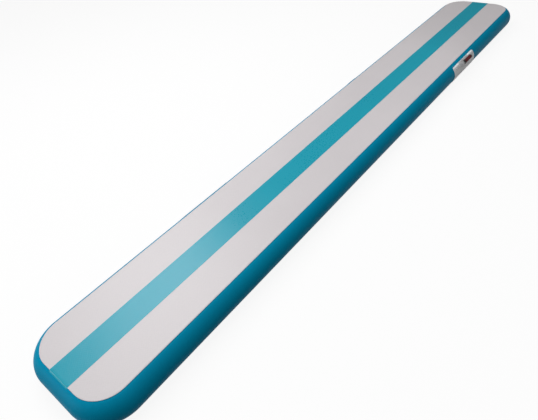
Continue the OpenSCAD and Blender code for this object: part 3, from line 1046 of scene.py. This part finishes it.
# Sewing lines on a pad: a box with a cross in it
def sewPaths(side):
    place = handlePlace(side)
    halfL = (hs["padOut"] - hs["legOut"]) / 2 - hs["seamEnd"]
    halfW = hs["strapW"] / 2 - hs["seamSide"]
    high = wallR + hs["padTop"] + hs["stitchOff"]
    paths = []
    for end in (-1, 1):
        mid = end * (hs["legOut"] + hs["padOut"]) / 2
        a, b = (mid - halfL, -halfW), (mid + halfL, -halfW)
        c, d = (mid + halfL, halfW), (mid - halfL, halfW)
        for line in ((a, b, c, d, a), (a, c), (b, d)):
            x, y = finePath(np.array(line), hs["seamStep"])[0].T
            paths.append(place(np.stack([x, y, high + wallDrop(y)], 1)))
    return paths


# A turned shape: profile holds (radius, height along the axis)
def turned(name, profile, steps, place, finish, waver=None, closed=True):
    angle = np.arange(steps) * 2 * pi / steps
    spots, faces = [], tubeFaces(len(profile), steps, not closed)
    for r, z in profile:
        reach = np.full(steps, r) if waver is None else waver(r, z, angle)
        spots += [(a * cos(t), a * sin(t), z) for a, t in zip(reach, angle)]
    if closed:
        faces += bandFaces((len(profile) - 1) * steps, 0, steps)
    return meshObject(name, place(np.array(spots)), faces, finish)


gripSizes = {
    "radius": 9 * mm,
    "sides": 48,
    "rows": 30,
    "holeR": hs["strapW"] / 2 - 0.3 * mm,
    "waist": 0.75 * mm,  # the sleeve under its ribs, in from the radius
    "swell": 0.35 * mm,
    "ribs": 13,
    "ribR": 0.55 * mm,
    "collarL": 7 * mm,
    "collarEdge": 1.2 * mm,
    "collarFoot": (0.5 * mm, 0.6 * mm),
}


def gripSleeve(name, side, p):
    place = handlePlace(side)
    half = hs["legIn"] - p["collarL"]
    hole, r, edge = p["holeR"], p["radius"], p["collarEdge"]
    axis = wallR + hs["strapHigh"]
    run = np.linspace(-half, half, p["rows"])
    swell = r - p["waist"] + p["swell"] * np.cos(run / half * pi / 2)

    def along(spots):
        return place(np.stack([spots[:, 2], spots[:, 0], spots[:, 1] + axis], 1))

    profile = list(zip(swell, run)) + [(hole, half), (hole, -half)]
    sleeve = turned(name, profile, p["sides"], along, gripFinish)
    pitch = 2 * half / (p["ribs"] + 1)
    values = {
        "Count": p["ribs"], "Pitch": pitch, "Start": -half + pitch, "Ring": r - p["ribR"],
        "Radius": p["ribR"], "Finish": gripFinish,
    }
    ribs = grow(f"{name}Ribs", pathMesh(f"{name}Ribs", [[(0, 0, 0)]]), ribTree, values)
    spots = np.array([v.co for v in ribs.data.vertices])
    spots[:, 2] += axis
    ribs.data.vertices.foreach_set("co", place(spots).astype(np.float32).ravel())
    ribs.data.update()
    collars = []
    for end in (-1, 1):
        a, b = end * half, end * (half + p["collarL"])
        cut, rise = p["collarFoot"]
        ring = [
            (hole, a), (r - cut, a), (r, a + end * rise), (r, b - end * edge),
            (r - edge * 0.35, b - end * edge * 0.3), (r - edge, b), (hole, b),
        ]
        collarName = f"{name}Collar{len(collars)}"
        collars.append(turned(collarName, ring, p["sides"], along, collarFinish))
    collar = joined(f"{name}Collars", collars)
    softEdges(sleeve)
    softEdges(collar)
    return sleeve, ribs, collar


def handlePads(word, side):
    pads = padMesh(f"{word}Pads", side, patchFinish)
    rideOn(pads, "mat", "patch_cloth", f"{word}_handle_pads")
    values = {
        "Pitch": hs["stitchPitch"], "Radius": hs["stitchR"], "Stretch": hs["stitchStretch"],
        "Finish": threadFinish,
    }
    name = f"{word}Stitches"
    sewing = grow(name, pathMesh(name, sewPaths(side)), stitchTree, values)
    rideOn(sewing, "mat", "webbing")


def handleLoop(word, side):
    place = handlePlace(side)
    low, high = wallR + hs["strapLow"], wallR + hs["strapHigh"]
    reach = hs["padOut"] - hs["strapTuck"]
    route = [
        (-reach, low), (-hs["legOut"], low), (-hs["legIn"], high),
        (hs["legIn"], high), (hs["legOut"], low), (reach, low),
    ]
    path = filletPath(route, hs["bend"], hs["bendSteps"])
    strap = strapMesh(f"{word}Strap", path, hs["strapW"], hs["strapT"], place, webbingFinish)
    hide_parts(f"{word}_handle_ends", f"{word}_handle_strap")
    hinge = wallR + hs["hinge"]
    ends = place([(0, 0, hinge - hs["hingeReach"]), (0, 0, hinge + hs["hingeReach"])])
    tuple(ends[0])
    tuple(ends[1])
    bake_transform(strap)
    sleeve, ribs, collar = gripSleeve(f"{word}Grip", side, gripSizes)
    rideOn(sleeve, f"{word}_handle", "grip_rubber", f"{word}_handle_grip")
    rideOn(ribs, f"{word}_handle", "grip_rubber")
    rideOn(collar, f"{word}_handle", "webbing")


for word, side in (("front", 1), ("rear", -1)):
    patch = (f"{word}Patch", patchSizes, side, hs["x"], patchFinish)
    wallSheet(*patch, "patch_cloth", f"{word}_handle_patch")
    handlePads(word, side)
    handleLoop(word, side)
print("handles made")

# Valve, in a frame with z out of the end wall and x down

crown = bandHigh.x
valveSoft = 50  # degrees past which an edge stays crisp


def valvePlace(spots):
    x, y, z = np.asarray(spots, float).T
    return np.stack([crown + z, y, wallMid - x], 1)


def onValve(piece, body, slotName, *nodes):
    rideOn(piece, body, slotName, *nodes)
    softEdges(piece, valveSoft)


bootSizes = {
    "holeR": ms["valveHoleR"],
    "seatR": 25 * mm,
    "seat": 2.5 * mm,
    "seatRows": (-1.5 * mm, -0.5 * mm, 0.0, 0.5 * mm),  # rows close to the seat's rim
    "lip": 1 * mm,
    "skirtR": 33 * mm,
    "skirtT": 1.2 * mm,
    "skirtRows": 9,
    "rimShare": 0.45,  # of the skirt's thickness, at its rim
    "rimW": 0.6 * mm,
    "flow": 5 * mm,  # run in which the seat comes down to the skirt
    "glue": 0.3 * mm,
    "sink": 0.25 * mm,  # into the wall's weld
    "steps": 96,
}


# The boot: a flat seat that flows down into a skirt welded on the curved wall
def valveBoot(p):
    steps, seatR, skirtR = p["steps"], p["seatR"], p["skirtR"]
    near = [seatR + past for past in p["seatRows"]]
    skirt = np.linspace(near[-1], skirtR - p["rimW"], p["skirtRows"])
    radii = [p["holeR"], p["holeR"] + p["lip"], *near[:-1], *skirt, skirtR]
    angle = np.arange(steps) * 2 * pi / steps
    spots = []
    for layer in (1, 0):
        for r in radii:
            x, y = r * np.cos(angle), r * np.sin(angle)
            ground = np.sqrt((wallR + p["glue"]) ** 2 - x**2) - wallR
            flow = 1 - (1 - np.clip((r - seatR) / p["flow"], 0, 1)) ** 3
            thick = p["skirtT"] * (1 if r < skirtR - p["rimW"] / 2 else p["rimShare"])
            top = p["seat"] * (1 - flow) + (ground + thick) * flow
            level = top if layer else np.minimum(ground - p["sink"], top)
            spots += list(zip(x, y, level))
    faces = shellFaces(len(radii), steps)
    piece = meshObject("valveBoot", valvePlace(spots), faces, bootFinish)
    onValve(piece, "mat", "boot_pvc", "valve_boot")


flangeSizes = {
    "holeR": ms["valveHoleR"],
    "flangeR": 23 * mm,
    "flangeLow": 3.3 * mm,
    "flangeHigh": 7.3 * mm,
    "collarR": 16.5 * mm,
    "rim": 17.3 * mm,
    "portR": 12 * mm,
    "portLow": 5.3 * mm,
    "edge": 0.8 * mm,
    "root": (0.2 * mm, 0.3 * mm),  # where the collar meets the flange
    "lands": (10.6 * mm, 13.4 * mm),  # heights of the thread lands
    "landRise": 0.2 * mm,
    "landTop": 0.4 * mm,  # half widths
    "landFoot": 0.9 * mm,
    "steps": 96,
}


# Flange and collar, with two shallow thread lands under the cap
def valveFlange(p):
    hole, port, rim, edge = p["holeR"], p["portR"], p["rim"], p["edge"]
    r, low, high = p["flangeR"], p["flangeLow"], p["flangeHigh"]
    collar, land = p["collarR"], p["collarR"] + p["landRise"]
    out, up = p["root"]
    profile = [
        (hole, low), (r - edge, low), (r, low + edge), (r, high - edge),
        (r - edge * 0.35, high - edge * 0.3), (r - edge * 1.2, high),
        (collar + out, high), (collar, high + up),
    ]
    for z in p["lands"]:
        profile += [
            (collar, z - p["landFoot"]), (land, z - p["landTop"]),
            (land, z + p["landTop"]), (collar, z + p["landFoot"]),
        ]
    profile += [
        (collar, rim - edge), (collar - edge, rim), (port + edge, rim), (port, rim - edge),
        (port, p["portLow"]), (hole, p["portLow"]),
    ]
    piece = turned("valveFlange", profile, p["steps"], valvePlace, valveFinish)
    onValve(piece, "mat", "valve_plastic", "valve_body")


capSizes = {
    "radius": 21 * mm,
    "low": 9.1 * mm,
    "belt": 13 * mm,
    "inside": 18.5 * mm,
    "top": 21 * mm,
    "holeR": 16.8 * mm,
    "edge": 1.3 * mm,
    "foot": 0.5 * mm,
    "flutes": 12,
    "fluteDepth": 1.2 * mm,
    "fluteEnd": 0.2 * mm,  # below the top
    "grooveR": 15.3 * mm,
    "grooveTop": 0.9 * mm,  # half widths
    "grooveFoot": 0.5 * mm,
    "grooveDepth": 0.5 * mm,
    "postR": 4 * mm,
    "postFoot": (0.4 * mm, 0.3 * mm),
    "headR": 6.5 * mm,
    "headLow": 23.1 * mm,
    "headHigh": 24.6 * mm,
    "headIn": (0.3 * mm, 1.2 * mm),  # from its radius to its rims and to its flat top
    "headUp": (0.4 * mm, 0.5 * mm),  # from its underside and top to its widest places
    "steps": 144,
}


# The cap: fluted skirt, soft-edged top with a groove, and the post that carries the leash's eye
def valveCap(p):
    edge, top, r, hole = p["edge"], p["top"], p["radius"], p["holeR"]
    post, head, low, high = p["postR"], p["headR"], p["headLow"], p["headHigh"]
    mid, wide, narrow = p["grooveR"], p["grooveTop"], p["grooveFoot"]
    bottom = top - p["grooveDepth"]
    (out, up), (rimIn, flatIn), (rise, drop) = p["postFoot"], p["headIn"], p["headUp"]

    def flute(radius, z, angle):
        if radius < r - 1.5 * edge or z > top - p["fluteEnd"]:
            return np.full(len(angle), radius)
        wave = np.clip(np.cos(angle * p["flutes"]), 0, 1) ** 1.5
        return radius - p["fluteDepth"] * wave

    profile = [
        (hole, p["inside"]), (hole, p["low"]), (r - p["foot"], p["low"]),
        (r, p["low"] + p["foot"]), (r, p["belt"]), (r, top - edge),
        (r - edge * 0.12, top - edge * 0.6), (r - edge * 0.45, top - edge * 0.2),
        (r - edge * 1.6, top), (mid + wide, top), (mid + narrow, bottom),
        (mid - narrow, bottom), (mid - wide, top), (post + out, top), (post, top + up),
        (post, low), (head - rimIn, low), (head, low + rise),
        (head - rimIn, high - drop), (head - flatIn, high),
    ]
    piece = turned("valveCap", profile, p["steps"], valvePlace, capFinish, flute, False)
    onValve(piece, "cap", "cap_plastic", "valve_cap")


valveBoot(bootSizes)
valveFlange(flangeSizes)
valveCap(capSizes)
print("valve boot, flange and cap made")

leashSizes = {
    "low": 7.3 * mm,
    "thick": 1.5 * mm,
    "width": 7 * mm,
    "ringR": 22 * mm,
    "ringHoleR": 16.8 * mm,
    "ringSteps": 72,
    "reach": 27 * mm,
    "bendSteps": 16,
    "eyeLow": 21.3 * mm,
    "eyeR": 9 * mm,
    "eyeHoleR": 4.3 * mm,
    "eyeSteps": 64,
    "gap": 0.3 * mm,  # between the tongue and the eye
    "edge": 0.35 * mm,
    "slack": 0.2 * mm,  # over the ring
}


# A flat ring's section, with its outer edges eased
def ringProfile(inner, outer, low, high, edge):
    return [
        (inner, low), (outer - edge, low), (outer, low + edge), (outer, high - edge),
        (outer - edge, high),
    ]


# The leash: a ring round the collar, a tongue that turns back over the cap, and its eye
def capLeash(p):
    t, edge, low, eyeLow = p["thick"], p["edge"], p["low"], p["eyeLow"]
    inner, outer, high = p["ringHoleR"], p["ringR"], low + t
    profile = ringProfile(inner, outer, low, high, edge) + [(inner, high)]
    ring = turned("leashRing", profile, p["ringSteps"], valvePlace, capFinish)
    bend = (eyeLow - low) / 2
    path = [((inner + outer) / 2, low + t / 2)]
    for a in np.linspace(-pi / 2, pi / 2, p["bendSteps"]):
        path.append((p["reach"] + bend * cos(a), low + t / 2 + bend + bend * sin(a)))
    path.append((p["eyeR"] + p["gap"], eyeLow + t / 2))
    tongue = strapMesh("leashTongue", np.array(path), p["width"], t, valvePlace, capFinish)
    piece = joined("capLeash", [ring, tongue])
    roundShading(piece)
    softEdges(piece, valveSoft)
    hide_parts("cap_leash")
    start, end = valvePlace([(0, 0, high + p["slack"]), (0, 0, eyeLow)])
    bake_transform(piece)
    inner, outer, high = p["eyeHoleR"], p["eyeR"], eyeLow + t
    profile = ringProfile(inner, outer, eyeLow, high, edge)
    profile += [(inner + edge, high), (inner, high - edge)]
    eye = turned("leashEye", profile, p["eyeSteps"], valvePlace, capFinish)
    onValve(eye, "leash_end", "cap_plastic", "leash_eye")


capLeash(leashSizes)

buttonSizes = {
    "holeR": 2.6 * mm,
    "holeDepth": 1.5 * mm,
    "edge": 0.3 * mm,
    "crown": 0.9 * mm,  # width of the eased upper edge
    "crownDrop": (0.8 * mm, 0.2 * mm),  # where it starts and half way
    "dish": (0.35 * mm, 0.55 * mm),  # depth half way in, and in the middle
    "middleR": 0.5 * mm,
    "steps": 64,
}


# The push button: crowned, with a finger dish
def pushButton(p):
    low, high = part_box("valve_button")
    r = (high.y - low.y) / 2
    z0, z1 = low.x - crown, high.x - crown
    hole, middle, edge = p["holeR"], p["middleR"], p["edge"]
    deep, (first, second), (shallow, full) = z0 + p["holeDepth"], p["crownDrop"], p["dish"]
    profile = [
        (middle, deep), (hole, deep), (hole, z0), (r - edge, z0), (r, z0 + edge),
        (r, z1 - first), (r - edge, z1 - second), (r - p["crown"], z1),
        (r * 0.55, z1 - shallow), (middle, z1 - full),
    ]
    piece = turned("pushButton", profile, p["steps"], valvePlace, plungerFinish, None, False)
    onValve(piece, "plunger", "plunger_plastic", "valve_button")


pushButton(buttonSizes)

springSizes = {
    "wireR": 0.4 * mm,
    "turns": 4.5,
    "turnSteps": 40,
    "closed": 0.8,  # turns that lie close together at each end
    "opening": 0.3,  # turns over which the pitch changes
    "push": 7 * mm,
}


# The return spring under the washer
def returnSpring(p):
    low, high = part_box("valve_spring")
    r, coilR = p["wireR"], (high.y - low.y) / 2 - p["wireR"]
    turn = np.linspace(0, p["turns"], int(p["turns"] * p["turnSteps"]) + 1)
    fromEnd = np.minimum(turn, p["turns"] - turn)
    climb = np.cumsum(eased((fromEnd - p["closed"]) / p["opening"]))
    spare = high.x - low.x - 2 * r - 2 * r * p["turns"]
    level = low.x - crown + r + 2 * r * turn + spare * climb / climb[-1]
    angle = 2 * pi * turn
    wire = valvePlace(np.stack([coilR * np.cos(angle), coilR * np.sin(angle), level], 1))
    values = {"Radius": r, "Finish": steelFinish}
    piece = grow("returnSpring", pathMesh("returnSpring", [wire]), beadTree, values)
    onValve(piece, "mat", "spring_steel", "valve_spring")
    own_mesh(piece)


returnSpring(springSizes)
print("leash, button and spring made")

# CAD pieces that keep their shape

keptFinishes = {
    "drop_stitch_yarns": yarnFinish,
    "valve_gasket": sealFinish,
    "valve_backing": sealFinish,
    "valve_nut": valveFinish,
    "valve_barrel": valveFinish,
    "valve_stem": plungerFinish,
    "valve_disc": sealFinish,
    "valve_washer": washerFinish,
    "cap_seal": sealFinish,
}
for node, finish in keptFinishes.items():
    mesh = frame["nodes"][node].data
    mesh.materials.clear()
    mesh.materials.append(finish)
print("kept pieces finished")

# Floor, backdrop and light

studioSizes = {
    "floor": 30.0,
    "floorDrop": 0.4 * mm,  # under the mat
    "floorTone": 0.1,
    "floorWhite": 0.9,
    "white": 0.9,  # share of plain white that the camera sees on the floor
    "farWhite": 0.92,  # what the camera sees at the foot of the sky
    "skyLow": 0.06,  # strength of the light from the sides
    "skyHigh": 0.6,  # and from above
    "skyRise": (0.25, 0.95),  # heights between which one turns into the other
    "farRise": (0.0, 0.3),
    "speckScale": 3.0,
    "speck": 0.01,
}
lamps = {  # place, aim, size and power
    "overhead": ((-0.7, 0.5, 2.6), (-0.6, 0.0, 0.1), (2.6, 2.0), 32),
    "back": ((-0.1, 2.15, 2.6), (-1.0, 0.0, 0.1), (1.4, 1.0), 30),
    "near": ((-3.2, 1.1, 0.4), (-1.5, 0.1, 0.05), (1.4, 0.5), 15),
    "side": ((0.3, -3.2, 1.6), (0.0, -0.2, 0.05), (3.0, 1.0), 12),
}


def paleFloor(p):
    made = bpy.data.materials.new("paleFloor")
    s = bareTree(made)
    ray = s.node("ShaderNodeLightPath").outs()
    seen = ray["Is Camera Ray"] + ray["Is Glossy Ray"] + ray["Is Transmission Ray"]
    speck = noise(s, places(s), p["speckScale"])
    tone = s.mix(grey(p["floorTone"]), grey(p["floorTone"] + p["speck"]), speck)
    matt = s.node("ShaderNodeBsdfDiffuse", None, {"Color": tone})
    pale = s.node("ShaderNodeBsdfDiffuse", None, {"Color": grey(p["floorWhite"])})
    plain = s.node("ShaderNodeEmission", None, {"Color": grey(1.0), "Strength": 1.0})
    bright = s.node("ShaderNodeMixShader", None, {0: p["white"], 1: pale, 2: plain})
    both = s.node("ShaderNodeMixShader", None, {0: seen, 1: matt, 2: bright})
    s.node("ShaderNodeOutputMaterial", None, {"Surface": both})
    return made


def softSky(p):
    scene.world = bpy.data.worlds.new("studio")
    s = bareTree(scene.world)
    seen = s.node("ShaderNodeLightPath").outs()["Is Camera Ray"]
    high = axes(s, s.node("ShaderNodeTexCoord"))[2]
    sky = s.mix(grey(p["skyLow"]), grey(p["skyHigh"]), high.smooth(*p["skyRise"]))
    soft = s.node("ShaderNodeBackground", None, {"Color": sky})
    backdrop = s.mix(grey(p["farWhite"]), grey(1.0), high.smooth(*p["farRise"]))
    white = s.node("ShaderNodeBackground", None, {"Color": backdrop})
    both = s.node("ShaderNodeMixShader", None, {0: seen, 1: soft, 2: white})
    s.node("ShaderNodeOutputWorld", None, {"Surface": both})


def studio(p):
    half, z = p["floor"], -p["floorDrop"]
    square = [(-half, -half, z), (half, -half, z), (half, half, z), (-half, half, z)]
    meshObject("floor", square, [(0, 1, 2, 3)], paleFloor(p))
    softSky(p)
    for name, (place, aim, size, power) in lamps.items():
        data = bpy.data.lights.new(name, "AREA")
        data.shape = "RECTANGLE"
        data.size, data.size_y = size
        data.energy = power
        made = newObject(name, data)
        made.location = place
        way = Vector(aim) - Vector(place)
        made.rotation_euler = way.to_track_quat("-Z", "Y").to_euler()


studio(studioSizes)
print("studio lit")
